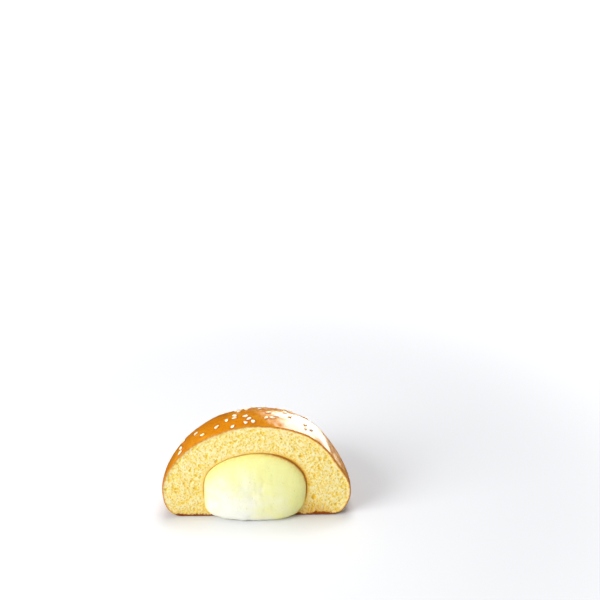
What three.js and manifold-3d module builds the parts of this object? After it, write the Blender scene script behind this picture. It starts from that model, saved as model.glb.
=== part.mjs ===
// Half of a filled potato bread roll, cut upright through its middle.
//
// The roll is a round bun baked on a tray: a dome over a flat base, with a cream cheese
// filling in a rounded pocket at its heart and sesame seeds on its glazed crust. The knife
// went down just in front of its middle, so the crumb and the filling show on one upright
// face, and the soft filling bulges out of that face and sags onto the table.
//
// Millimetres, +Z up. The cut face looks along -Y, and the crust is behind it.
// The origin is on the table, in the middle of the part's footprint.
import * as THREE from "three";
import { mergeVertices } from "three/addons/utils/BufferGeometryUtils.js";
import Module from "manifold-3d";

const wasm = await Module();
wasm.setup();

const GAP = 0.3; // clear space between neighbouring pieces

// The roll. A power of 2 makes an ellipse, less is more pointed and more is squarer.
const ROLL_RADIUS = 52.5;
const ROLL_HEIGHT = 59.6;
const WIDEST_HEIGHT = 18;
const BASE_RADIUS = 41;
const DOME_POWER = 1.83;
const FLANK_POWER = 2.2;
const LEAN = 2.2; // how far the crown leans to +X
const FLAT_SHOULDER = 0.08; // share of the radius lost on the flatter +X shoulder
const FLAT_SHOULDER_RISE = 27; // degrees up the dome from its widest ring
const FLAT_SHOULDER_SPREAD = 21;
const CUT = -3; // where the knife went down, along Y

// The pocket that the filling baked in
const POCKET_RADIUS = 28.3;
const POCKET_OFF_CENTRE = -0.5;
const POCKET_WIDEST_HEIGHT = 18;
const POCKET_TOP = 41.6;
const POCKET_FLOOR = 2.6;
const POCKET_ROOF_POWER = 2.25;
const POCKET_FLOOR_POWER = 3;

// The filling, where it stands out of the cut face
const BULGE = 6;
const BULGE_FOOT_POWER = 4;

// Sesame seeds
const SEED_LENGTH = 3.1;
const SEED_WIDTH = 1.9;
const SEED_THICKNESS = 0.9;
const SEED_TAPER = 0.4; // 0 would make both ends alike
const SEED_SIZE_SPREAD = 0.08; // share by which a seed may be larger or smaller
const SEED_SPACING = 3.4;
const SEED_LOWEST = 80; // degrees from the crown
const SEED_CLEAR_OF_CUT = 1.9;

// Where the seeds fell: how many, about which bearing and how far from the crown, in degrees,
// and how widely they scattered.
const SPRINKLES = [
  { count: 3, bearing: 171, fromCrown: 55, spread: 5 },
  { count: 3, bearing: 167, fromCrown: 38, spread: 5 },
  { count: 3, bearing: 144, fromCrown: 23, spread: 3 },
  { count: 6, bearing: 108, fromCrown: 32, spread: 5 },
  { count: 5, bearing: 135, fromCrown: 11, spread: 4 },
  { count: 3, bearing: 58, fromCrown: 13, spread: 3 },
  { count: 2, bearing: 42, fromCrown: 23, spread: 5 },
  { count: 3, bearing: 12, fromCrown: 34, spread: 3 },
  { count: 26, bearing: 90, fromCrown: 60, spread: 20 },
];

const CRUST = new THREE.MeshStandardMaterial({ color: 0xd9760f, roughness: 0.35, metalness: 0 });
const CREAM_CHEESE = new THREE.MeshStandardMaterial({ color: 0xf8f4c0, roughness: 0.4, metalness: 0 });
const SESAME = new THREE.MeshStandardMaterial({ color: 0xf3e2bd, roughness: 0.5, metalness: 0 });

const degrees = THREE.MathUtils.degToRad;

// A repeatable random number from 0 to 1.
function randomSource(seed) {
  let state = seed;
  return () => {
    state = (Math.imul(state, 1664525) + 1013904223) >>> 0;
    return state / 4294967296;
  };
}

// A point on a quarter of a superellipse: across and along as shares of its two half sizes.
function quarter(angleDegrees, power) {
  const angle = degrees(angleDegrees);
  return [Math.cos(angle) ** (2 / power), Math.sin(angle) ** (2 / power)];
}

// The crust's shape: rise is 0 at the widest ring, 90 at the crown and -90 at the edge of the
// flat base. The bearing runs from +X (0) over +Y (90).
function crustPoint(bearingDegrees, rise) {
  const bearing = degrees(bearingDegrees);
  const fromShoulder = (rise - FLAT_SHOULDER_RISE) / FLAT_SHOULDER_SPREAD;
  const flatter = FLAT_SHOULDER * Math.max(0, Math.cos(bearing)) ** 4 * Math.exp(-(fromShoulder ** 2));
  let radius, height;
  if (rise >= 0) {
    const [across, up] = quarter(rise, DOME_POWER);
    radius = ROLL_RADIUS * across;
    height = WIDEST_HEIGHT + (ROLL_HEIGHT - WIDEST_HEIGHT) * up;
  } else {
    const [across, down] = quarter(-rise, FLANK_POWER);
    radius = BASE_RADIUS + (ROLL_RADIUS - BASE_RADIUS) * across;
    height = WIDEST_HEIGHT * (1 - down);
  }
  radius *= 1 - flatter;
  const lean = (LEAN * height) / ROLL_HEIGHT;
  return new THREE.Vector3(radius * Math.cos(bearing) + lean, radius * Math.sin(bearing), height);
}

// The pocket's shape, or one like it: smaller by an inset, or down to another floor.
function pocketPoint(bearingDegrees, rise, inset, floor, floorPower) {
  const bearing = degrees(bearingDegrees);
  const roof = rise >= 0;
  const [across, along] = quarter(Math.abs(rise), roof ? POCKET_ROOF_POWER : floorPower);
  const end = roof ? POCKET_TOP - inset : floor;
  const radius = (POCKET_RADIUS - inset) * across;
  const height = POCKET_WIDEST_HEIGHT + (end - POCKET_WIDEST_HEIGHT) * along;
  return new THREE.Vector3(radius * Math.cos(bearing), radius * Math.sin(bearing), height);
}

// Rises from the lowest to the highest, in equal steps.
function risesFrom(lowest, highest, steps) {
  return Array.from({ length: steps + 1 }, (_, i) => lowest + ((highest - lowest) * i) / steps);
}

// A closed round geometry whose every point comes from shape(bearing, rise). It starts as a
// lathe with a row for each rise, and then each of its points is put in its place.
function roundGeometry(rises, turns, shape) {
  const isPole = (row) => row === 0 || row === rises.length - 1;
  const geometry = new THREE.LatheGeometry(
    rises.map((_, row) => new THREE.Vector2(isPole(row) ? 0 : 1, row)),
    turns,
  );
  const position = geometry.getAttribute("position");
  for (let i = 0; i < position.count; i++) {
    const row = i % rises.length;
    const turn = Math.floor(i / rises.length) % turns;
    const point = shape(isPole(row) ? 0 : (360 * turn) / turns, rises[row]);
    position.setXYZ(i, point.x, point.y, point.z);
  }
  return geometry;
}

function solidOf(geometry) {
  const bare = geometry.clone();
  bare.deleteAttribute("normal");
  bare.deleteAttribute("uv");
  const merged = mergeVertices(bare, 1e-3);
  const solid = new wasm.Manifold(
    new wasm.Mesh({
      numProp: 3,
      vertProperties: new Float32Array(merged.attributes.position.array),
      triVerts: new Uint32Array(merged.index.array),
    }),
  );
  if (solid.status() !== "NoError") throw new Error("not a closed solid: " + solid.status());
  return solid;
}

function meshOf(solid, material, name) {
  const { vertProperties, triVerts } = solid.getMesh();
  const geometry = new THREE.BufferGeometry();
  geometry.setAttribute("position", new THREE.BufferAttribute(vertProperties, 3));
  geometry.setIndex(new THREE.BufferAttribute(triVerts, 1));
  geometry.computeVertexNormals();
  const mesh = new THREE.Mesh(geometry, material);
  mesh.name = name;
  return mesh;
}

// All that lies behind an upright plane at y (towards 1) or in front of it (towards -1).
function halfSpace(y, towards) {
  const side = 4 * ROLL_RADIUS;
  return solidOf(new THREE.BoxGeometry(side, side, side).translate(0, y + (towards * side) / 2, 0));
}

// The bread: crust and crumb are one baked piece, with the pocket open at the cut face.
function makeBread() {
  const middleOfBase = new THREE.Vector3(0, 0, 0);
  const crust = (bearing, rise) => (rise < -90 ? middleOfBase : crustPoint(bearing, rise));
  const rises = [-91, ...risesFrom(-90, 0, 9), ...risesFrom(5, 90, 17)];
  const roll = solidOf(roundGeometry(rises, 96, crust));

  const pocketShape = (bearing, rise) => pocketPoint(bearing, rise, 0, POCKET_FLOOR, POCKET_FLOOR_POWER);
  const pocket = solidOf(roundGeometry(risesFrom(-90, 90, 20), 64, pocketShape));
  return roll.intersect(halfSpace(CUT, 1)).subtract(pocket.translate(POCKET_OFF_CENTRE, 0, 0));
}

// The filling: it fills the pocket, and in front of the cut it bulges and sags onto the table.
function makeFilling() {
  const rises = risesFrom(-90, 90, 18);
  const floor = POCKET_FLOOR + GAP;
  const insideShape = (bearing, rise) => pocketPoint(bearing, rise, GAP, floor, POCKET_FLOOR_POWER);
  const bulgeShape = (bearing, rise) => {
    const point = pocketPoint(bearing, rise, GAP, 0, BULGE_FOOT_POWER);
    point.y = CUT + (point.y * BULGE) / (POCKET_RADIUS - GAP);
    return point;
  };
  const inside = solidOf(roundGeometry(rises, 48, insideShape)).intersect(halfSpace(CUT - 2 * GAP, 1));
  const bulge = solidOf(roundGeometry(rises, 48, bulgeShape)).intersect(halfSpace(CUT - GAP, -1));
  return inside.add(bulge).translate(POCKET_OFF_CENTRE, 0, 0);
}

// One seed, lying flat with its pointed end along +X and its underside at z = 0.
function seedGeometry() {
  const steps = 5;
  const outline = Array.from({ length: steps + 1 }, (_, i) => {
    const angle = (Math.PI * i) / steps;
    const across = i % steps ? Math.sin(angle) * (1 + SEED_TAPER * Math.cos(angle)) : 0;
    return new THREE.Vector2((across * SEED_WIDTH) / 2, (-Math.cos(angle) * SEED_LENGTH) / 2);
  });
  const geometry = new THREE.LatheGeometry(outline, 8);
  geometry.scale(1, 1, SEED_THICKNESS / SEED_WIDTH);
  geometry.rotateZ(-Math.PI / 2);
  geometry.translate(0, 0, SEED_THICKNESS / 2);
  return geometry;
}

// The place, outward normal, turn and size of each seed on the crust.
function scatterSeeds() {
  const random = randomSource(20);
  const aboutZero = () => 2 * (random() + random() + random()) - 3;
  const placed = [];
  for (const { count, bearing, fromCrown, spread } of SPRINKLES) {
    for (let left = count; left > 0; ) {
      const around = bearing + (spread * aboutZero()) / Math.sin(degrees(fromCrown));
      const down = fromCrown + spread * aboutZero();
      const turn = 360 * random();
      const size = 1 + SEED_SIZE_SPREAD * (2 * random() - 1);
      if (down < 0 || down > SEED_LOWEST) continue;

      const place = crustPoint(around, 90 - down);
      const crowded = placed.some((seed) => seed.place.distanceTo(place) < SEED_SPACING);
      if (crowded || place.y < CUT + SEED_CLEAR_OF_CUT) continue;

      const sideways = crustPoint(around + 1, 90 - down).sub(place);
      const upwards = crustPoint(around, 91 - down).sub(place);
      placed.push({ place, normal: sideways.cross(upwards).normalize(), turn, size });
      left -= 1;
    }
  }
  return placed;
}

const roll = new THREE.Group();
roll.add(meshOf(makeBread(), CRUST, "bread"));
roll.add(meshOf(makeFilling(), CREAM_CHEESE, "cream_cheese_filling"));

const UP = new THREE.Vector3(0, 0, 1);
scatterSeeds().forEach(({ place, normal, turn, size }, i) => {
  const seed = new THREE.Mesh(seedGeometry(), SESAME);
  seed.name = "sesame_seed_" + String(i + 1).padStart(2, "0");
  seed.position.copy(place).addScaledVector(normal, GAP);
  seed.quaternion.setFromUnitVectors(UP, normal);
  seed.rotateZ(degrees(turn));
  seed.scale.setScalar(size);
  roll.add(seed);
});

// The middle of the footprint comes to the origin.
const box = new THREE.Box3().setFromObject(roll, true);
roll.position.set(-(box.min.x + box.max.x) / 2, -(box.min.y + box.max.y) / 2, -box.min.z);

const part = new THREE.Group();
part.add(roll);
export default part;
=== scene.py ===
# Half of a filled potato bread roll on a white table, with its cut face to the front.
# Metres, +Z up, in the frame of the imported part. Bearings and other angles are in degrees.
import math

import bmesh
import bpy
import numpy as np
from mathutils import Matrix, Vector, geometry, noise


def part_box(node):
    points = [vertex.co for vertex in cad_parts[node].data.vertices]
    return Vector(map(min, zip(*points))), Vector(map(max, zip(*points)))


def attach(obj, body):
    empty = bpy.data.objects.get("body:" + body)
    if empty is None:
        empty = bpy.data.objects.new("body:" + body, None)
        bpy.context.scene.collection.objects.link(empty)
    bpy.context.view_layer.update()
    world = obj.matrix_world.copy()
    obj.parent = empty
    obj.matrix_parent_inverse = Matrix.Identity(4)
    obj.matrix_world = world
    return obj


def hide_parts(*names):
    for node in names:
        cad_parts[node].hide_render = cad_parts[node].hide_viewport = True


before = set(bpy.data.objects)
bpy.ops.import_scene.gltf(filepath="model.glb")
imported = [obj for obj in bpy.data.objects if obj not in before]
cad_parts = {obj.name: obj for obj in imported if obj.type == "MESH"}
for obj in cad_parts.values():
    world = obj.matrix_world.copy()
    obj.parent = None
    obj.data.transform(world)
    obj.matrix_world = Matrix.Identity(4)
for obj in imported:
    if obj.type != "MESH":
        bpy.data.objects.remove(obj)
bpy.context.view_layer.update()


# ---------------------------------------------------------------------------------------------
# The camera. It stands in front of the cut face and looks down on it, and the roll is low and
# a little left of the middle of its picture.
MM = 0.001
bread_low, bread_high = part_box("bread")
cut_middle = Vector((bread_low.x + 52.35 * MM, bread_low.y, 20 * MM))
camera_distance = 640 * MM
camera_bearing = 1.5
camera_elevation = 36
camera_tilt = 26.8
camera_turn = -1.13
lens_length = 68.8
sensor_width = 36


def toward(bearing, elevation):
    """A direction out from the roll. Bearing 0 is in front of the cut face, and 90 is +X."""
    turn, rise = math.radians(bearing), math.radians(elevation)
    return Vector((
        math.sin(turn) * math.cos(rise),
        -math.cos(turn) * math.cos(rise),
        math.sin(rise),
    ))


camera_data = bpy.data.cameras.new("camera")
camera_data.lens = lens_length
camera_data.sensor_width = sensor_width
camera = bpy.data.objects.new("camera", camera_data)
bpy.context.scene.collection.objects.link(camera)
camera.location = cut_middle + camera_distance * toward(camera_bearing, camera_elevation)
camera.rotation_euler = (math.radians(90 - camera_tilt), 0, math.radians(camera_turn))
bpy.context.scene.camera = camera


# ---------------------------------------------------------------------------------------------
# The studio: a plain white table that runs on to a white background, and two soft lamps. They
# don't mirror in the glaze. What mirrors in it is a dark room, with a bright window of two
# panes behind the roll on the right and a dim window above it on the left.
table_half = 4.0
table_top = -0.05 * MM
table_white = (0.76, 0.77, 0.79, 1)
table_glow = 0.75
table_glow_from, table_glow_to = 0.14, 0.50
background_white = 1.0
soft_daylight = 0.31
dark_room = 0.03
window_edge, window_core = 0.6, 5.0
golden_edge = (1.0, 0.76, 0.38, 1)
cool_core = (0.86, 0.97, 0.93, 1)
white = (1, 1, 1, 1)


def add_node(tree, kind, inputs=None, **settings):
    """Adds a shader node. An input takes a value, or another node's socket as a link."""
    made = tree.nodes.new(kind)
    for setting, value in settings.items():
        setattr(made, setting, value)
    for socket, value in (inputs or {}).items():
        if isinstance(value, bpy.types.NodeSocket):
            tree.links.new(value, made.inputs[socket])
        else:
            made.inputs[socket].default_value = value
    return made


def new_material(name, finish):
    """A material with the finish that is the same all over it, its tree and its shader."""
    material = bpy.data.materials.new(name)
    material.use_nodes = True
    tree = material.node_tree
    tree.nodes.clear()
    shader = add_node(tree, "ShaderNodeBsdfPrincipled", finish)
    add_node(tree, "ShaderNodeOutputMaterial", {"Surface": shader.outputs["BSDF"]})
    return material, tree, shader


def object_place(tree):
    """The place of each point of the surface."""
    return add_node(tree, "ShaderNodeTexCoord").outputs["Object"]


def reckon(tree, operation, *values):
    """Works out a number from numbers or sockets and returns its socket."""
    made = add_node(tree, "ShaderNodeMath", dict(enumerate(values)), operation=operation)
    return made.outputs[0]


def reckon_vector(tree, operation, *values):
    """Works out a vector, a length, a distance or a dot product and returns its socket."""
    made = add_node(tree, "ShaderNodeVectorMath", dict(enumerate(values)), operation=operation)
    gives_number = operation in ("LENGTH", "DISTANCE", "DOT_PRODUCT")
    return made.outputs["Value" if gives_number else "Vector"]


def spread_over(tree, value, low, high, to_low=0.0, to_high=1.0):
    """Maps a value softly from one range to another and returns the socket."""
    made = add_node(
        tree,
        "ShaderNodeMapRange",
        {"Value": value, "From Min": low, "From Max": high, "To Min": to_low, "To Max": to_high},
        interpolation_type="SMOOTHSTEP",
    )
    return made.outputs["Result"]


def number_mix(tree, factor, first, second):
    """Mixes two numbers by a factor and returns the socket."""
    made = add_node(
        tree, "ShaderNodeMix", {"Factor": factor, "A": first, "B": second}, data_type="FLOAT"
    )
    return made.outputs[0]


def colour_mix(tree, factor, first, second):
    """Mixes two colours by a factor and returns the colour socket."""
    made = add_node(
        tree, "ShaderNodeMix", {"Factor": factor, 6: first, 7: second}, data_type="RGBA"
    )
    return made.outputs[2]


def new_piece(name, points, faces, materials, face_materials=None):
    """Makes a smooth-shaded mesh object at the origin from points and faces."""
    mesh = bpy.data.meshes.new(name)
    mesh.from_pydata([tuple(p) for p in points], [], [tuple(int(i) for i in f) for f in faces])
    for material in materials:
        mesh.materials.append(material)
    if face_materials is not None:
        mesh.polygons.foreach_set("material_index", np.asarray(face_materials, dtype=np.int32))
    mesh.polygons.foreach_set("use_smooth", np.ones(len(mesh.polygons), dtype=bool))
    mesh.update()
    piece = bpy.data.objects.new(name, mesh)
    bpy.context.scene.collection.objects.link(piece)
    return piece


def make_table_material():
    """Matt white that glows more the further it is from the roll, up to the background."""
    finish = {
        "Base Color": table_white,
        "Roughness": 1.0,
        "Specular IOR Level": 0.0,
        "Emission Color": white,
    }
    material, tree, shader = new_material("white_table", finish)
    from_roll = reckon_vector(tree, "LENGTH", object_place(tree))
    glow = spread_over(tree, from_roll, table_glow_from, table_glow_to, 0.0, table_glow)
    tree.links.new(glow, shader.inputs["Emission Strength"])
    return material


corners = [(-1, -1), (1, -1), (1, 1), (-1, 1)]
table = new_piece(
    "table",
    [(x * table_half, y * table_half, table_top) for x, y in corners],
    [(0, 1, 2, 3)],
    [make_table_material()],
)
table.visible_glossy = False


def add_softbox(name, bearing, elevation, distance, side, power):
    """A square lamp that faces the roll."""
    data = bpy.data.lights.new(name, "AREA")
    data.size = side
    data.energy = power
    lamp = bpy.data.objects.new(name, data)
    out = toward(bearing, elevation)
    lamp.location = out * distance
    lamp.rotation_mode = "QUATERNION"
    lamp.rotation_quaternion = out.to_track_quat("Z", "Y")
    lamp.visible_glossy = False
    bpy.context.scene.collection.objects.link(lamp)


add_softbox("left_lamp", bearing=-58, elevation=33, distance=1.1, side=0.7, power=11.3)
add_softbox("top_lamp", bearing=165, elevation=78, distance=1.3, side=0.6, power=9.6)

world = bpy.data.worlds.new("studio")
world.use_nodes = True
bpy.context.scene.world = world
room = world.node_tree
room.nodes.clear()
direction = add_node(room, "ShaderNodeTexCoord").outputs["Generated"]


def window_glow(bearing, elevation, half_angle, softness, brightness, tallness):
    """How bright a window is in each direction: round or taller, with a soft edge."""
    flatten = Vector((1, 1, 1 / tallness))
    middle = (toward(bearing, elevation) * flatten).normalized()
    flattened = reckon_vector(room, "MULTIPLY", direction, flatten)
    flattened = reckon_vector(room, "NORMALIZE", flattened)
    facing = reckon_vector(room, "DOT_PRODUCT", flattened, middle)
    faint = math.cos(math.radians(half_angle + softness))
    full = math.cos(math.radians(half_angle))
    return spread_over(room, facing, faint, full, 0.0, brightness)


upper_pane = window_glow(151, 23, half_angle=9, softness=12, brightness=18.0, tallness=1.0)
lower_pane = window_glow(160, 1, half_angle=9, softness=12, brightness=9.5, tallness=1.2)
dim_window = window_glow(263, 48, half_angle=6, softness=24, brightness=5.0, tallness=1.0)
bright_window = reckon(room, "MAXIMUM", upper_pane, lower_pane)
windows = reckon(room, "ADD", bright_window, dim_window)
mirrored_room = reckon(room, "ADD", windows, dark_room)
ray = add_node(room, "ShaderNodeLightPath")
in_mirror, in_camera = ray.outputs["Is Glossy Ray"], ray.outputs["Is Camera Ray"]
strength = number_mix(room, in_mirror, soft_daylight, mirrored_room)
strength = number_mix(room, in_camera, strength, background_white)
core = spread_over(room, windows, window_edge, window_core)
window_tint = colour_mix(room, core, golden_edge, cool_core)
tint = colour_mix(room, in_mirror, white, window_tint)
background = add_node(room, "ShaderNodeBackground", {"Color": tint, "Strength": strength})
add_node(room, "ShaderNodeOutputWorld", {"Surface": background.outputs[0]})
bpy.context.scene.view_settings.view_transform = "Standard"


# ---------------------------------------------------------------------------------------------
# The bread: one baked piece, a dome of soft yellow potato crumb in a thin egg-glazed crust. It
# is flat and brown underneath, where it lay on the tray. A knife cut it upright just in front
# of its middle, through the rounded pocket that the filling baked in.
roll_radius = 52.5 * MM
roll_height = bread_high.z
widest_height = 18 * MM
base_radius = 41 * MM
dome_power = 1.83
flank_power = 2.2
lean = 2.2 * MM
flat_shoulder = 0.08
flat_shoulder_rise = 27
flat_shoulder_spread = 21
cut_y = bread_low.y
axis_x = bread_low.x + roll_radius - lean * widest_height / roll_height
axis_y = cut_y + 3 * MM

pocket_x = axis_x - 0.5 * MM
pocket_radius = 28.3 * MM
pocket_widest_height = 18 * MM
pocket_top = 41.6 * MM
pocket_floor = 2.6 * MM
pocket_roof_power = 2.25
pocket_floor_power = 3.0
pocket_dip = 1.5 * MM
pocket_dip_left = 17 * MM
pocket_dip_spread = 12 * MM

outline_points = 380
outline_trials = 3601
reach_halvings = 34
crust_rows = 95
pocket_points = 170
pocket_rows = 18
crumb_spacing = 0.25 * MM
crumb_jitter = 0.18
relief_step = 0.1 * MM
relief_width = 112 * MM
relief_height = 66 * MM

base_rounding = 5 * MM
base_thickness = 0.8 * MM
base_pit_depth = 0.25 * MM
torn_depth = 0.22 * MM
edge_depth = 0.35 * MM
edge_width = 0.7 * MM
lip_depth = 0.55 * MM
lip_width = 1.6 * MM
full_bubble = 0.45 * MM
# Where the dark line round the pocket's lip is strongest, partly brown from baking and partly
# painted shade, and how far round it reaches.
darkest_lip_bearing = 35
darkest_lip_spread = 55
seed_ring_inside = 1.2 * MM
seed_ring_outside = 3.0 * MM

# The crust's lumps: the height and width of each kind in millimetres, and where it starts.
crust_lumps = [(0.55, 21, 3.1), (0.16, 6.5, 8.2), (0.045, 2.1, 5.7)]


def lumps(points, size, shift):
    """Smooth swellings of about that size at each point, from -1 to 1."""
    start = Vector((shift, 2 * shift, 3 * shift))
    return np.array([noise.noise(Vector(p) / size + start) for p in points.reshape(-1, 3)])


def lumps_of(points, kinds):
    """Lumps of several kinds together, as a height at each point."""
    return sum(height * MM * lumps(points, size * MM, shift) for height, size, shift in kinds)


def smooth_step(low, high, values):
    """0 below low, 1 above high, and smooth between."""
    share = np.clip((values - low) / (high - low), 0, 1)
    return share * share * (3 - 2 * share)


def inside_crust(points):
    """Which points lie inside the whole roll's crust."""
    height = points[..., 2]
    across_x = points[..., 0] - axis_x - lean * height / roll_height
    across_y = points[..., 1] - axis_y
    distance = np.hypot(across_x, across_y)
    toward_x = np.clip(across_x / np.maximum(distance, 1e-9), 0, 1)
    up = np.clip((height - widest_height) / (roll_height - widest_height), 0, 1)
    rise = np.degrees(np.arcsin(up ** (dome_power / 2)))
    down = np.clip(1 - height / widest_height, 0, 1)
    fall = np.degrees(np.arcsin(down ** (flank_power / 2)))
    from_shoulder = (rise - fall - flat_shoulder_rise) / flat_shoulder_spread
    flatter = flat_shoulder * toward_x**4 * np.exp(-(from_shoulder**2))
    dome = roll_radius * (1 - up**dome_power) ** (1 / dome_power)
    bulge = (1 - down**flank_power) ** (1 / flank_power)
    flank = base_radius + (roll_radius - base_radius) * bulge
    allowed = np.where(height > widest_height, dome, flank) * (1 - flatter)
    return (distance < allowed) & (height > 0) & (height < roll_height)


def reach(centre, directions):
    """The points where rays from the centre come out of the crust."""
    near = np.zeros(directions.shape[:-1])
    far = np.full(directions.shape[:-1], 2 * roll_radius)
    for _ in range(reach_halvings):
        middle = (near + far) / 2
        within = inside_crust(centre + directions * middle[..., None])
        near = np.where(within, middle, near)
        far = np.where(within, far, middle)
    return centre + directions * near[..., None]


def backward_directions(angles, rows):
    """Unit directions from the cut plane (first row) back to +Y (last row), round all angles."""
    lift = np.linspace(0, math.pi / 2, rows + 1)[:, None]
    return np.stack(
        [
            np.cos(angles) * np.cos(lift),
            np.sin(lift) * np.ones_like(angles),
            np.sin(angles) * np.cos(lift),
        ],
        axis=-1,
    )


def grid_normals(grid, centre):
    """Outward normals of a grid whose columns close into a ring."""
    around = np.roll(grid, -1, axis=1) - np.roll(grid, 1, axis=1)
    along = np.gradient(grid, axis=0)
    normals = np.cross(around, along)
    normals /= np.linalg.norm(normals, axis=-1, keepdims=True) + 1e-15
    outward = np.sign(np.sum(normals * (grid - centre), axis=-1, keepdims=True))
    return normals * np.where(outward == 0, 1, outward)


def ring_faces(rows, columns, first, pole, flip):
    """Faces of a closed cap: rings of points that start at first, and a pole at the end."""
    faces = []
    for row in range(rows):
        for column in range(columns):
            beside = (column + 1) % columns
            a = first + row * columns + column
            b = first + row * columns + beside
            if row == rows - 1:
                face = (a, b, pole)
            else:
                face = (a, b, b + columns, a + columns)
            faces.append(face[::-1] if flip else face)
    return faces


def distance_to_loop(points, loop):
    """The distance of each flat point to a closed outline."""
    sides = np.roll(loop, -1, axis=0) - loop
    nearest = np.full(len(points), np.inf)
    for start, side in zip(loop, sides):
        share = np.clip((points - start) @ side / (side @ side), 0, 1)
        nearest = np.minimum(nearest, np.hypot(*(points - start - share[:, None] * side).T))
    return nearest


# The crust and the flat base, out from a point behind the middle of the cut face.
crust_centre = np.array([axis_x, cut_y, 25 * MM])
trial_angles = np.linspace(0, 2 * math.pi, outline_trials)
trial_outline = reach(crust_centre, backward_directions(trial_angles, 1)[0])
steps = np.linalg.norm(np.diff(trial_outline, axis=0), axis=1)
run = np.concatenate([[0], np.cumsum(steps)])
even_run = np.linspace(0, run[-1], outline_points, endpoint=False)
outline_angles = np.interp(even_run, run, trial_angles)
crust = reach(crust_centre, backward_directions(outline_angles, crust_rows))
crust_normals = grid_normals(crust, crust_centre)


def crust_swell(points):
    """How far the baked surface stands above or below its even shape."""
    height = points.reshape(-1, 3)[:, 2]
    swell = lumps_of(points, crust_lumps) * smooth_step(0, base_rounding, height)
    on_base = 1 - smooth_step(0, base_thickness, height)
    small_pits = np.maximum(0, lumps(points, 2.4 * MM, 1.3))
    wide_pits = np.maximum(0, lumps(points, 5 * MM, 2.3))
    pits = base_pit_depth * on_base * (small_pits + 0.5 * wide_pits)
    return (swell - pits).reshape(points.shape[:-1])


crust = crust + crust_normals * crust_swell(crust)[..., None]
crust[0, :, 1] = cut_y
crust[..., 1] = np.maximum(crust[..., 1], cut_y)
crust[..., 2] = np.maximum(crust[..., 2], 0)


def pocket_shape(directions, radius, back, roof, floor, floor_power):
    """Points of the pocket's rounded shape, or one like it, in each direction from its centre."""
    flat = np.hypot(directions[..., 0], directions[..., 1])
    height = directions[..., 2]
    power = np.where(height > 0, pocket_roof_power, floor_power)
    scale = (flat**power + np.abs(height) ** power) ** (-1 / power)
    tall = np.where(height > 0, roof - pocket_widest_height, pocket_widest_height - floor)
    x = pocket_x + radius * directions[..., 0] * scale
    y = cut_y + back * directions[..., 1] * scale
    z = pocket_widest_height + tall * height * scale
    from_dip = (x - pocket_x + pocket_dip_left) / pocket_dip_spread
    up = np.clip((z - pocket_widest_height) / (roof - pocket_widest_height), 0, 1)
    z -= pocket_dip * np.exp(-(from_dip**2)) * up
    return np.stack([x, y, z], axis=-1)


pocket_angles = np.linspace(0, 2 * math.pi, pocket_points, endpoint=False)
pocket = pocket_shape(
    backward_directions(pocket_angles, pocket_rows),
    radius=pocket_radius,
    back=pocket_radius,
    roof=pocket_top,
    floor=pocket_floor,
    floor_power=pocket_floor_power,
)

# The cut face: an even net of points between the outline and the pocket's edge.
outline = crust[0][:, [0, 2]]
mouth = pocket[0][:, [0, 2]]
row_step = crumb_spacing * math.sqrt(3) / 2
net = []
for row, z in enumerate(np.arange(0, roll_height + MM, row_step)):
    for x in np.arange(bread_low.x - MM, bread_high.x + MM, crumb_spacing):
        net.append((x + (row % 2) * crumb_spacing / 2, z))
net = np.array(net)
scatter = np.random.default_rng(7)
net += scatter.uniform(-crumb_jitter, crumb_jitter, net.shape) * crumb_spacing


def reach_at(points, loop, centre):
    """Each point's distance from the centre as a share of the loop's, along the same ray."""
    loop_angles = np.arctan2(loop[:, 1] - centre[1], loop[:, 0] - centre[0])
    order = np.argsort(loop_angles)
    loop_reach = np.hypot(*(loop - centre).T)
    away = points - centre
    angles = np.arctan2(away[:, 1], away[:, 0])
    edge = np.interp(angles, loop_angles[order], loop_reach[order], period=2 * math.pi)
    return np.hypot(*away.T) / edge


within_roll = reach_at(net, outline, crust_centre[[0, 2]]) < 1
pocket_middle = np.array([pocket_x, pocket_widest_height])
outside_pocket = reach_at(net, mouth, pocket_middle) > 1
net = net[within_roll & outside_pocket]
clear = 0.6 * crumb_spacing
net = net[(distance_to_loop(net, outline) > clear) & (distance_to_loop(net, mouth) > clear)]

flat_points = np.vstack([outline, mouth, net])
loops = [(i, (i + 1) % outline_points) for i in range(outline_points)]
loops += [
    (outline_points + i, outline_points + (i + 1) % pocket_points) for i in range(pocket_points)
]
joined_net = geometry.delaunay_2d_cdt(
    [Vector((x / MM, z / MM)) for x, z in flat_points], loops, [], 1, 1e-5
)
net_faces, net_sources = joined_net[2:4]
triangles = np.array([[net_sources[i][0] for i in face] for face in net_faces])
middles = flat_points[triangles].mean(axis=1)
triangles = triangles[reach_at(middles, mouth, pocket_middle) > 1]

# Bubbles in the crumb: round or drawn out, small and close together, with a few larger ones.
relief_corner = np.array([bread_low.x - 2 * MM, -2 * MM])
relief = np.zeros((int(relief_width / relief_step), int(relief_height / relief_step)))


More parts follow.
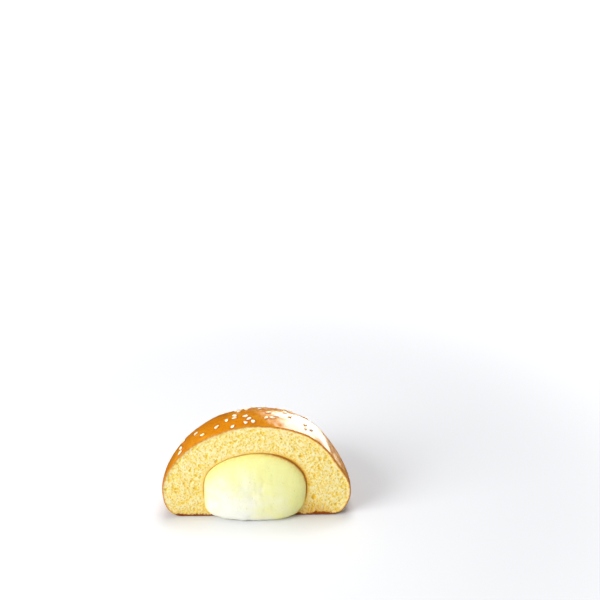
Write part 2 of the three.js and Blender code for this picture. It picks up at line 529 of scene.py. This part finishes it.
def press_bubbles(count, smallest, largest, depth):
    """Presses rounded hollows into the crumb's relief, each at a random place and turn."""
    for _ in range(count):
        radius = smallest + (largest - smallest) * scatter.random() ** 2
        stretch = scatter.uniform(0.55, 1.0)
        turn = scatter.uniform(0, math.pi)
        centre = scatter.uniform((0, 0), relief.shape)
        deep = depth * scatter.uniform(0.6, 1.0) * radius / largest
        cells = int(radius / relief_step) + 2
        i0, j0 = (centre - cells).astype(int)
        i = np.arange(max(0, i0), min(relief.shape[0], i0 + 2 * cells + 1))
        j = np.arange(max(0, j0), min(relief.shape[1], j0 + 2 * cells + 1))
        if len(i) == 0 or len(j) == 0:
            continue
        across = (i[:, None] - centre[0]) * relief_step
        along = (j[None, :] - centre[1]) * relief_step
        long_way = (across * math.cos(turn) + along * math.sin(turn)) / radius
        short_way = (along * math.cos(turn) - across * math.sin(turn)) / (radius * stretch)
        hollow = deep * np.sqrt(np.clip(1 - long_way**2 - short_way**2, 0, 1))
        window = relief[i[0] : i[-1] + 1, j[0] : j[-1] + 1]
        np.maximum(window, hollow, out=window)


press_bubbles(11500, smallest=0.22 * MM, largest=0.68 * MM, depth=0.42 * MM)
press_bubbles(900, smallest=0.45 * MM, largest=1.05 * MM, depth=0.62 * MM)
press_bubbles(40, smallest=0.85 * MM, largest=1.60 * MM, depth=0.90 * MM)


def relief_at(points):
    """The depth of the bubbles at flat points, between the relief's cells."""
    place = (points - relief_corner) / relief_step
    cell = np.clip(place.astype(int), 0, np.array(relief.shape) - 2)
    part = np.clip(place - cell, 0, 1)
    i, j = cell.T
    low = relief[i, j] * (1 - part[:, 0]) + relief[i + 1, j] * part[:, 0]
    high = relief[i, j + 1] * (1 - part[:, 0]) + relief[i + 1, j + 1] * part[:, 0]
    return low * (1 - part[:, 1]) + high * part[:, 1]


# The knife's face: bubbles and torn crumb, with the crust's edge and the pocket's lip rounded.
to_crust = distance_to_loop(flat_points, outline)
to_pocket = distance_to_loop(flat_points, mouth)
clear_of_crust = smooth_step(0.5 * MM, 2.2 * MM, to_crust)
clear_of_pocket = smooth_step(0.3 * MM, 2.0 * MM, to_pocket)
open_crumb = clear_of_crust * clear_of_pocket
bubbles = relief_at(flat_points) * (0.12 + 0.88 * open_crumb)
face_points = np.insert(flat_points, 1, cut_y, axis=1)
torn = torn_depth * (1 + lumps(face_points, 7 * MM, 4.4)) * open_crumb
rounded_edge = edge_depth * np.clip(1 - to_crust / edge_width, 0, 1) ** 2
rounded_lip = lip_depth * np.clip(1 - to_pocket / lip_width, 0, 1) ** 2
face_points[:, 1] += bubbles + torn + rounded_edge + rounded_lip
face_points[:outline_points, 1] = cut_y + edge_depth
crust[0, :, 1] = cut_y + edge_depth
crust[1:, :, 1] = np.maximum(crust[1:, :, 1], cut_y + edge_depth + 0.05 * MM)
pocket[0, :, 1] = face_points[outline_points : outline_points + pocket_points, 1]
pocket[1:, :, 1] = np.maximum(pocket[1:, :, 1], cut_y + lip_depth + 0.1 * MM)

# All the bread's points: the cut face, then the crust behind it, then the pocket's wall.
crust_back = crust[1:-1].reshape(-1, 3)
crust_pole = crust[-1].mean(axis=0)
pocket_back = pocket[1:-1].reshape(-1, 3)
pocket_pole = pocket[-1].mean(axis=0)
crust_first = len(face_points)
crust_pole_index = crust_first + len(crust_back)
pocket_first = crust_pole_index + 1
pocket_pole_index = pocket_first + len(pocket_back)
bread_points = np.vstack([face_points, crust_back, [crust_pole], pocket_back, [pocket_pole]])


def joined_faces(loop_first, columns, first, pole, rows, flip):
    """Faces from a loop on the cut face to the first ring behind it, and on to the pole."""
    faces = []
    for column in range(columns):
        beside = (column + 1) % columns
        face = (loop_first + column, loop_first + beside, first + beside, first + column)
        faces.append(face[::-1] if flip else face)
    return faces + ring_faces(rows, columns, first, pole, flip)


crust_faces = joined_faces(0, outline_points, crust_first, crust_pole_index, crust_rows - 1, True)
pocket_faces = joined_faces(
    outline_points, pocket_points, pocket_first, pocket_pole_index, pocket_rows - 1, False
)
first_corner = face_points[triangles[:, 0]]
facing_y = np.cross(
    face_points[triangles[:, 1]] - first_corner, face_points[triangles[:, 2]] - first_corner
)[:, 1]
triangles[facing_y > 0] = triangles[facing_y > 0][:, ::-1]

# The bread's colours, as linear red, green and blue, and opacity.
crust_amber = (0.59, 0.195, 0.002, 1)
crust_brown = (0.41, 0.100, 0.002, 1)
crust_gold = (0.67, 0.285, 0.010, 1)
crust_tan = (0.66, 0.35, 0.12, 1)
crust_foot = (0.16, 0.045, 0.012, 1)
base_brown = (0.28, 0.06, 0.006, 1)
crumb_pale = (0.94, 0.83, 0.46, 1)
crumb_yellow = (0.91, 0.69, 0.15, 1)
crumb_deep = (0.86, 0.53, 0.04, 1)
crumb_soaked = (0.90, 0.58, 0.08, 1)
crumb_browned_and_shaded = (0.72, 0.36, 0.04, 1)
lip_brown_and_shade = (0.57, 0.22, 0.025, 1)
shaded_browned_corner = (pocket_x + 32 * MM, cut_y, 0)


def height_of(tree, place):
    """How high each point of the surface is above the table."""
    return add_node(tree, "ShaderNodeSeparateXYZ", {0: place}).outputs["Z"]


def attribute_of(tree, name):
    """A number that the piece stores for each of its points."""
    return add_node(tree, "ShaderNodeAttribute", attribute_name=name).outputs["Fac"]


def noise_of(tree, place, size, detail=2.0, roughness=0.5):
    """A noise pattern whose patches are about that size, from 0 to 1."""
    made = add_node(
        tree,
        "ShaderNodeTexNoise",
        {"Vector": place, "Scale": 1 / size, "Detail": detail, "Roughness": roughness},
    )
    return made.outputs["Fac"]


def bump_of(tree, height, strength, distance, under=None):
    """Bumps that follow a pattern, on top of other bumps if there are any."""
    inputs = {"Height": height, "Strength": strength, "Distance": distance}
    if under is not None:
        inputs["Normal"] = under
    return add_node(tree, "ShaderNodeBump", inputs).outputs[0]


def make_crust_material():
    """Egg-glazed crust: amber on top, tan low on the flank (paler crust with a painted reflection
    of the table), dark brown at the base.
    """
    finish = {
        "Specular IOR Level": 0.08,
        "Subsurface Weight": 0.08,
        "Subsurface Radius": (1.0, 0.35, 0.05),
        "Subsurface Scale": 0.8 * MM,
        "Coat Weight": 0.6,
        "Coat Roughness": 0.12,
    }
    material, tree, shader = new_material("glazed_crust", finish)
    place = object_place(tree)
    height = height_of(tree, place)
    wander = reckon(tree, "MULTIPLY_ADD", noise_of(tree, place, 17 * MM, 3.0), 14 * MM, -7 * MM)
    level = reckon(tree, "ADD", height, wander)
    glazed = spread_over(tree, level, 10 * MM, 20 * MM)
    colour = colour_mix(tree, glazed, crust_brown, crust_amber)
    golden = spread_over(tree, noise_of(tree, place, 9 * MM, 3.0, 0.55), 0.45, 0.70, 0.0, 0.6)
    colour = colour_mix(tree, golden, colour, crust_gold)
    browner = spread_over(tree, noise_of(tree, place, 13 * MM, 4.0, 0.6), 0.50, 0.76, 0.0, 0.9)
    colour = colour_mix(tree, browner, colour, crust_brown)
    # Tan low on the flank: partly paler, less baked crust, partly a painted reflection of the
    # white table, which the glaze doesn't mirror.
    pale_flank_and_reflection = spread_over(tree, level, 6 * MM, 13 * MM, 1.0, 0.0)
    colour = colour_mix(tree, pale_flank_and_reflection, colour, crust_tan)
    grains = noise_of(tree, place, 0.9 * MM, 3.0, 0.6)
    dark_grains = spread_over(tree, grains, 0.50, 0.72, 0.0, 0.65)
    colour = colour_mix(tree, dark_grains, colour, crust_brown)
    light_grains = spread_over(tree, grains, 0.50, 0.28, 0.0, 0.55)
    colour = colour_mix(tree, light_grains, colour, crust_gold)
    # Darker round each seed: partly caramelised glaze, partly painted shade where the seed sits
    # on the crust.
    seed_glaze_and_shade = reckon(tree, "MULTIPLY", attribute_of(tree, "glaze_and_shade_near_seed"), 0.55)
    colour = colour_mix(tree, seed_glaze_and_shade, colour, crust_brown)
    near_base = spread_over(tree, level, 0.5 * MM, 3.2 * MM, 0.85, 0.0)
    colour = colour_mix(tree, near_base, colour, crust_brown)
    at_base = spread_over(tree, height, 0.3 * MM, 1.6 * MM, 1.0, 0.0)
    colour = colour_mix(tree, at_base, colour, crust_foot)
    tree.links.new(colour, shader.inputs["Base Color"])
    rough = spread_over(tree, noise_of(tree, place, 3 * MM, 3.0), 0.3, 0.7, 0.38, 0.55)
    rougher = spread_over(tree, height, 2 * MM, 14 * MM, 0.3, 0.0)
    tree.links.new(reckon(tree, "ADD", rough, rougher), shader.inputs["Roughness"])
    grainy = bump_of(tree, grains, 0.5, 0.055 * MM)
    skin = noise_of(tree, place, 2.0 * MM)
    tree.links.new(bump_of(tree, skin, 0.5, 0.12 * MM, grainy), shader.inputs["Normal"])
    return material


def make_crumb_material():
    """Soft yellow potato crumb: pale bubble walls, deeper yellow down in the bubbles as painted
    shade, a thin brown crust edge.
    """
    finish = {
        "Roughness": 0.75,
        "Specular IOR Level": 0.3,
        "Subsurface Weight": 0.15,
        "Subsurface Radius": (1.0, 0.7, 0.3),
        "Subsurface Scale": 0.6 * MM,
    }
    material, tree, shader = new_material("potato_crumb", finish)
    place = object_place(tree)
    speckle = noise_of(tree, place, 1.4 * MM, 3.0, 0.6)
    spots = noise_of(tree, place, 2.2 * MM)
    patches = noise_of(tree, place, 6 * MM, 3.0, 0.6)
    # The yellow deepens with a random speckle, the crumb's own uneven tone, and with each
    # bubble's depth, which is painted shade.
    depth = reckon(tree, "MULTIPLY_ADD", speckle, 2.2, attribute_of(tree, "bubble"))
    hollow = spread_over(tree, depth, 0.95, 1.65)
    colour = colour_mix(tree, hollow, crumb_pale, crumb_yellow)
    patchy = spread_over(tree, patches, 0.4, 0.7, 0.0, 0.35)
    colour = colour_mix(tree, patchy, colour, crumb_yellow)
    spotted = spread_over(tree, spots, 0.58, 0.70, 0.0, 0.5)
    colour = colour_mix(tree, spotted, colour, crumb_deep)
    deepest_tone_and_shade = spread_over(tree, depth, 1.45, 2.3, 0.0, 0.8)
    colour = colour_mix(tree, deepest_tone_and_shade, colour, crumb_deep)

    ragged = reckon(tree, "MULTIPLY_ADD", speckle, 1.1, -0.35)
    edge = reckon(tree, "SUBTRACT", attribute_of(tree, "to_crust"), ragged)
    gold_edge = spread_over(tree, edge, 0.2, 1.2, 0.9, 0.0)
    colour = colour_mix(tree, gold_edge, colour, crust_gold)
    brown_edge = spread_over(tree, edge, -0.1, 0.4, 0.7, 0.0)
    colour = colour_mix(tree, brown_edge, colour, crust_brown)

    # Close round the pocket's lip the crumb is soaked yellow by the filling; nearest the lip it
    # is painted deeper and brown, partly baked colour and partly painted shade of the gap,
    # strongest on the upper right.
    lip_distance = reckon(tree, "SUBTRACT", attribute_of(tree, "to_pocket"), ragged)
    wider = reckon(tree, "MULTIPLY_ADD", attribute_of(tree, "lip_browning_and_shade"), 1.5, -0.5)
    lip_distance = reckon(tree, "SUBTRACT", lip_distance, wider)
    soaked_rim = spread_over(tree, lip_distance, 0.3, 3.4, 0.55, 0.0)
    colour = colour_mix(tree, soaked_rim, colour, crumb_soaked)
    deep_shaded_rim = spread_over(tree, lip_distance, -0.2, 0.9, 0.8, 0.0)
    colour = colour_mix(tree, deep_shaded_rim, colour, crumb_deep)
    browned_shaded_rim = spread_over(tree, lip_distance, -0.4, 0.1, 1.0, 0.0)
    colour = colour_mix(tree, browned_shaded_rim, colour, lip_brown_and_shade)

    height = height_of(tree, place)
    # Deeper yellow low down near the table: partly denser crumb, partly painted shade.
    denser_and_shaded_low = spread_over(tree, height, 0.5 * MM, 7 * MM, 0.45, 0.0)
    colour = colour_mix(tree, denser_and_shaded_low, colour, crumb_deep)
    # Browner crumb by the filling's lower right corner: partly baked brown there, partly a
    # painted shadow.
    from_corner = reckon_vector(tree, "DISTANCE", place, shaded_browned_corner)
    corner_browning_and_shade = spread_over(tree, from_corner, 3 * MM, 14 * MM, 0.5, 0.0)
    colour = colour_mix(tree, corner_browning_and_shade, colour, crumb_browned_and_shaded)
    uneven = reckon(tree, "ADD", patches, speckle)
    level = reckon(tree, "MULTIPLY_ADD", uneven, -2.6 * MM, height)
    at_base = spread_over(tree, level, -1.4 * MM, -0.4 * MM, 1.0, 0.0)
    colour = colour_mix(tree, at_base, colour, base_brown)
    tree.links.new(colour, shader.inputs["Base Color"])
    fine = noise_of(tree, place, 0.35 * MM, 3.0, 0.7)
    tree.links.new(bump_of(tree, fine, 0.6, 0.12 * MM), shader.inputs["Normal"])
    return material


crumb_faces = [tuple(t) for t in triangles] + pocket_faces
bread = new_piece(
    "bread_half",
    bread_points,
    crumb_faces + crust_faces,
    [make_crumb_material(), make_crust_material()],
    [0] * len(crumb_faces) + [1] * len(crust_faces),
)


def set_attribute(piece, name, values):
    """Stores one number for each point of a piece."""
    attribute = piece.data.attributes.new(name, "FLOAT", "POINT")
    attribute.data.foreach_set("value", np.asarray(values, dtype=np.float32))


def lip_browning_and_shade(points):
    """How dark the pocket's lip is on each point's side: partly brown from baking, partly painted
    shade of the gap beside the filling; 1 on the upper right.
    """
    across, up = (points[:, [0, 2]] - pocket_middle).T
    bearing = np.degrees(np.arctan2(up, across))
    return np.exp(-(((bearing - darkest_lip_bearing) / darkest_lip_spread) ** 2))


# What the materials read: depths as shares of a full bubble, and distances in millimetres. The
# points behind the cut face have no bubbles, and count as far from the crust's edge.
behind = len(bread_points) - len(face_points)
far_inside = 9.0
set_attribute(bread, "bubble", np.concatenate([bubbles / full_bubble, np.zeros(behind)]))
set_attribute(bread, "to_crust", np.concatenate([to_crust / MM, np.full(behind, far_inside)]))
set_attribute(bread, "to_pocket", np.concatenate([to_pocket / MM, np.zeros(behind)]))
seed_nodes = sorted(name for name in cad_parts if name.startswith("sesame_seed_"))
seed_middles = [(low + high) / 2 for low, high in map(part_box, seed_nodes)]
# A ring round each seed where the crust is painted darker: partly glaze that caramelised there,
# partly painted shade where the seed sits on the crust.
glaze_and_shade_near_seed = np.zeros(len(bread_points))
for middle in seed_middles:
    away = np.linalg.norm(bread_points - np.array(middle), axis=1)
    glaze_and_shade_near_seed = np.maximum(glaze_and_shade_near_seed, smooth_step(seed_ring_outside, seed_ring_inside, away))
set_attribute(bread, "glaze_and_shade_near_seed", glaze_and_shade_near_seed)
set_attribute(bread, "lip_browning_and_shade", lip_browning_and_shade(bread_points))
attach(bread, "root")
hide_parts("bread")


# ---------------------------------------------------------------------------------------------
# The filling: soft cream cheese that set in the pocket as the roll baked. It fills the pocket
# just clear of the crumb, and where the knife opened it, it bulges out and sags on the table.
filling_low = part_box("cream_cheese_filling")[0]
filling_gap = 0.3 * MM
filling_radius = pocket_radius - filling_gap
filling_top = pocket_top - filling_gap
bulge_depth = cut_y - filling_low.y
middle_foot_power = 9.0
left_foot_power = 5.0
right_foot_power = 3.4
top_bulge = 0.55
slump_height = 5 * MM
settled = 0.2 * MM
shrunk = 0.4 * MM
streak_height = 0.26 * MM
streak_width = 2.6 * MM
streak_shortening = 0.22
filling_detail = 7
whitest_lit_place = (pocket_x - 14 * MM, cut_y, -1 * MM)
cheese_white = (1.0, 0.995, 0.84, 1)
cheese_yellow = (0.96, 0.92, 0.40, 1)
cheese_near_rim = (0.92, 0.72, 0.20, 1)
cheese_rim_brown_and_shade = (0.76, 0.42, 0.08, 1)

# The bulge's lumps: the height and width of each kind in millimetres, and where it starts.
filling_lumps = [(0.80, 13, 6.6), (0.30, 5.5, 2.9), (0.10, 2.2, 7.7)]


def make_filling_material():
    """Moist cream cheese: whitest low on the left, partly cheese that baked less and partly a
    painted highlight from the left lamp, yellower where it baked against the crumb.
    """
    finish = {
        "Subsurface Weight": 0.6,
        "Subsurface Radius": (1.0, 0.85, 0.45),
        "Subsurface Scale": 2.0 * MM,
    }
    material, tree, shader = new_material("set_cream_cheese", finish)
    place = object_place(tree)
    clouds = noise_of(tree, place, 10 * MM, 4.0, 0.55)
    # Whitest low on the left and yellower away from there: partly how the cheese baked, partly a
    # painted highlight on the side the left lamp lights.
    from_whitest_lit = reckon_vector(tree, "DISTANCE", place, whitest_lit_place)
    wander = reckon(tree, "MULTIPLY_ADD", clouds, 40 * MM, from_whitest_lit)
    yellowness = spread_over(tree, wander, 27 * MM, 60 * MM)
    colour = colour_mix(tree, yellowness, cheese_white, cheese_yellow)
    curd = noise_of(tree, place, 1.6 * MM, 4.0, 0.6)
    ragged = reckon(tree, "MULTIPLY_ADD", curd, -1.6, attribute_of(tree, "out_of_cut"))
    yellow_rim = spread_over(tree, ragged, -0.6, 1.5, 0.6, 0.0)
    colour = colour_mix(tree, yellow_rim, colour, cheese_near_rim)
    # At its rim, where it meets the crumb, the filling is painted brown: partly a baked skin,
    # partly painted shade of the gap, strongest on the upper right.
    baked_and_shaded_rim = spread_over(tree, ragged, -0.9, 0.2, 1.0, 0.0)
    lip_darkness = reckon(tree, "MULTIPLY_ADD", attribute_of(tree, "lip_browning_and_shade"), 0.75, 0.25)
    darkened_rim = reckon(tree, "MULTIPLY", baked_and_shaded_rim, lip_darkness)
    colour = colour_mix(tree, darkened_rim, colour, cheese_rim_brown_and_shade)
    tree.links.new(colour, shader.inputs["Base Color"])
    curdled = bump_of(tree, curd, 0.5, 0.22 * MM)
    air = add_node(tree, "ShaderNodeTexVoronoi", {"Vector": place, "Scale": 1 / (2.6 * MM)})
    crowd = noise_of(tree, place, 7 * MM)
    uneven = reckon(tree, "MULTIPLY_ADD", crowd, -0.9, air.outputs["Distance"])
    pits = spread_over(tree, uneven, -0.42, -0.32)
    tree.links.new(bump_of(tree, pits, 0.5, 0.25 * MM, curdled), shader.inputs["Normal"])
    rough = spread_over(tree, curd, 0.3, 0.7, 0.26, 0.48)
    tree.links.new(rough, shader.inputs["Roughness"])
    return material


def make_filling():
    """A fine ball of points, each sent out to the filling's shape."""
    ball = bmesh.new()
    bmesh.ops.create_icosphere(ball, subdivisions=filling_detail, radius=1)
    directions = np.array([v.co.normalized() for v in ball.verts])
    faces = [tuple(v.index for v in f.verts) for f in ball.faces]
    ball.free()
    inside = pocket_shape(
        directions,
        radius=filling_radius,
        back=filling_radius,
        roof=filling_top,
        floor=pocket_floor + filling_gap,
        floor_power=pocket_floor_power,
    )
    sideways = smooth_step(0.2, 0.85, np.abs(directions[:, 0]))
    side_power = np.where(directions[:, 0] > 0, right_foot_power, left_foot_power)
    outside = pocket_shape(
        directions,
        radius=filling_radius,
        back=bulge_depth,
        roof=filling_top,
        floor=0.0,
        floor_power=middle_foot_power + (side_power - middle_foot_power) * sideways,
    )
    slump = smooth_step(pocket_top, slump_height, outside[:, 2])
    outside[:, 1] = cut_y + (outside[:, 1] - cut_y) * (top_bulge + (1 - top_bulge) * slump)
    front = directions[:, 1] < 0
    points = np.where(front[:, None], outside, inside)
    middle = np.array([pocket_x, cut_y, pocket_widest_height])
    out = points - middle
    out /= np.linalg.norm(out, axis=1, keepdims=True)
    swell = lumps_of(points, filling_lumps)
    swell += streak_height * lumps(points * (1, 1, streak_shortening), streak_width, 9.1)
    swell = (swell - shrunk) * smooth_step(0, 0.35, -directions[:, 1])
    swell += settled * smooth_step(-0.25, 0.35, lumps(points, 7 * MM, 1.9))
    points = points + out * swell[:, None]
    points[:, 2] = np.maximum(points[:, 2], 0.0)
    return new_piece("cream_cheese", points, faces, [make_filling_material()])


filling = make_filling()
filling_points = np.array([v.co for v in filling.data.vertices])
set_attribute(filling, "out_of_cut", (cut_y - filling_points[:, 1]) / MM)
set_attribute(filling, "lip_browning_and_shade", lip_browning_and_shade(filling_points))
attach(filling, "root")
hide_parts("cream_cheese_filling")


# ---------------------------------------------------------------------------------------------
# Sesame seeds: small hulled teardrops, flat on the crust and sunk a little into the egg glaze
# that baked them on. One seed is repeated at the place, tilt and size of each seed of the part.
seed_sink = 0.42 * MM
seed_half_width = 0.31
seed_taper = 0.42
seed_flatness = 0.5
seed_sides = 10
seed_rings = 7
hull_cream = (0.97, 0.90, 0.74, 1)
hull_toasted = (0.87, 0.69, 0.43, 1)


def make_seed_material():
    """Hulled sesame: cream, with toasted patches."""
    finish = {
        "Roughness": 0.45,
        "Subsurface Weight": 0.3,
        "Subsurface Radius": (1.0, 0.7, 0.4),
        "Subsurface Scale": 0.5 * MM,
    }
    material, tree, shader = new_material("hulled_sesame", finish)
    place = object_place(tree)
    toasted = spread_over(tree, noise_of(tree, place, 2.2 * MM), 0.35, 0.7)
    colour = colour_mix(tree, toasted, hull_cream, hull_toasted)
    tree.links.new(colour, shader.inputs["Base Color"])
    fine = noise_of(tree, place, 0.3 * MM)
    tree.links.new(bump_of(tree, fine, 0.25, 0.05 * MM), shader.inputs["Normal"])
    return material


def make_one_seed(material):
    """A seed 1 long with its tip along +X, its widest ring nearer the round end."""
    points, faces = [(-0.5, 0, 0)], []
    for ring in range(1, seed_rings):
        angle = math.pi * ring / seed_rings
        across = seed_half_width * math.sin(angle) * (1 + seed_taper * math.cos(angle))
        for side in range(seed_sides):
            turn = 2 * math.pi * side / seed_sides
            points.append((
                -math.cos(angle) / 2,
                across * math.cos(turn),
                seed_flatness * across * math.sin(turn),
            ))
    points.append((0.5, 0, 0))
    tip = len(points) - 1
    for side in range(seed_sides):
        beside = (side + 1) % seed_sides
        faces.append((0, 1 + beside, 1 + side))
        for ring in range(seed_rings - 2):
            a = 1 + ring * seed_sides
            faces.append((a + side, a + beside, a + beside + seed_sides, a + side + seed_sides))
        last = 1 + (seed_rings - 2) * seed_sides
        faces.append((last + side, last + beside, tip))
    return new_piece("one_seed", points, faces, [material])


def seed_places():
    """Where each seed of the part lies: its middle, its turn and its length."""
    places = []
    dome_middle = np.array([axis_x, axis_y, widest_height])
    for name in seed_nodes:
        points = np.array([v.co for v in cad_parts[name].data.vertices])
        centre = points.mean(axis=0)
        spread = points - centre
        long_way, _, normal = np.linalg.svd(spread, full_matrices=False)[2]
        if normal @ (centre - dome_middle) < 0:
            normal = -normal
        if np.mean((spread @ long_way) ** 3) < 0:
            long_way = -long_way
        along = spread @ long_way
        sideways = np.cross(normal, long_way)
        turn = Matrix((long_way, sideways, normal)).transposed().to_euler()
        length = along.max() - along.min()
        lift = crust_swell(centre[None, :])[0] - seed_sink
        places.append((centre + normal * lift, turn, length))
    return places


def spread_seeds(seed, places, material):
    """Geometry Nodes: the seed at each place with its own turn and size, as one mesh."""
    spots = bpy.data.meshes.new("sesame_seeds")
    spots.from_pydata([tuple(place) for place, _, _ in places], [], [])
    turns = spots.attributes.new("turn", "FLOAT_VECTOR", "POINT")
    turns.data.foreach_set("vector", [angle for _, turn, _ in places for angle in turn])
    sizes = spots.attributes.new("size", "FLOAT", "POINT")
    sizes.data.foreach_set("value", [length for _, _, length in places])
    carrier = bpy.data.objects.new("sesame_seeds", spots)
    bpy.context.scene.collection.objects.link(carrier)

    tree = bpy.data.node_groups.new("seeds_on_crust", "GeometryNodeTree")
    sockets = tree.interface
    sockets.new_socket("Places", in_out="INPUT", socket_type="NodeSocketGeometry")
    seed_socket = sockets.new_socket("Seed", in_out="INPUT", socket_type="NodeSocketObject")
    size_socket = sockets.new_socket("Size", in_out="INPUT", socket_type="NodeSocketFloat")
    sockets.new_socket("Seeds", in_out="OUTPUT", socket_type="NodeSocketGeometry")
    given = tree.nodes.new("NodeGroupInput")
    result = tree.nodes.new("NodeGroupOutput")
    shape = add_node(tree, "GeometryNodeObjectInfo", {"Object": given.outputs["Seed"]})
    turn = add_node(
        tree, "GeometryNodeInputNamedAttribute", {"Name": "turn"}, data_type="FLOAT_VECTOR"
    )
    size = add_node(tree, "GeometryNodeInputNamedAttribute", {"Name": "size"}, data_type="FLOAT")
    scale = reckon(tree, "MULTIPLY", size.outputs["Attribute"], given.outputs["Size"])
    placed = add_node(
        tree,
        "GeometryNodeInstanceOnPoints",
        {
            "Points": given.outputs["Places"],
            "Instance": shape.outputs["Geometry"],
            "Rotation": turn.outputs["Attribute"],
            "Scale": scale,
        },
    )
    real = add_node(tree, "GeometryNodeRealizeInstances", {"Geometry": placed.outputs[0]})
    coloured = add_node(tree, "GeometryNodeSetMaterial", {"Geometry": real.outputs[0]})
    coloured.inputs["Material"].default_value = material
    tree.links.new(coloured.outputs[0], result.inputs[0])
    spread = carrier.modifiers.new("spread", "NODES")
    spread.node_group = tree
    spread[seed_socket.identifier] = seed
    spread[size_socket.identifier] = 1.0
    bpy.context.view_layer.update()
    evaluated = carrier.evaluated_get(bpy.context.evaluated_depsgraph_get())
    mesh = bpy.data.meshes.new_from_object(evaluated)
    carrier.modifiers.remove(spread)
    carrier.data = mesh
    mesh.polygons.foreach_set("use_smooth", np.ones(len(mesh.polygons), dtype=bool))
    return carrier


seed_material = make_seed_material()
one_seed = make_one_seed(seed_material)
seeds = spread_seeds(one_seed, seed_places(), seed_material)
bpy.data.objects.remove(one_seed)
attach(seeds, "root")
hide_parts(*seed_nodes)
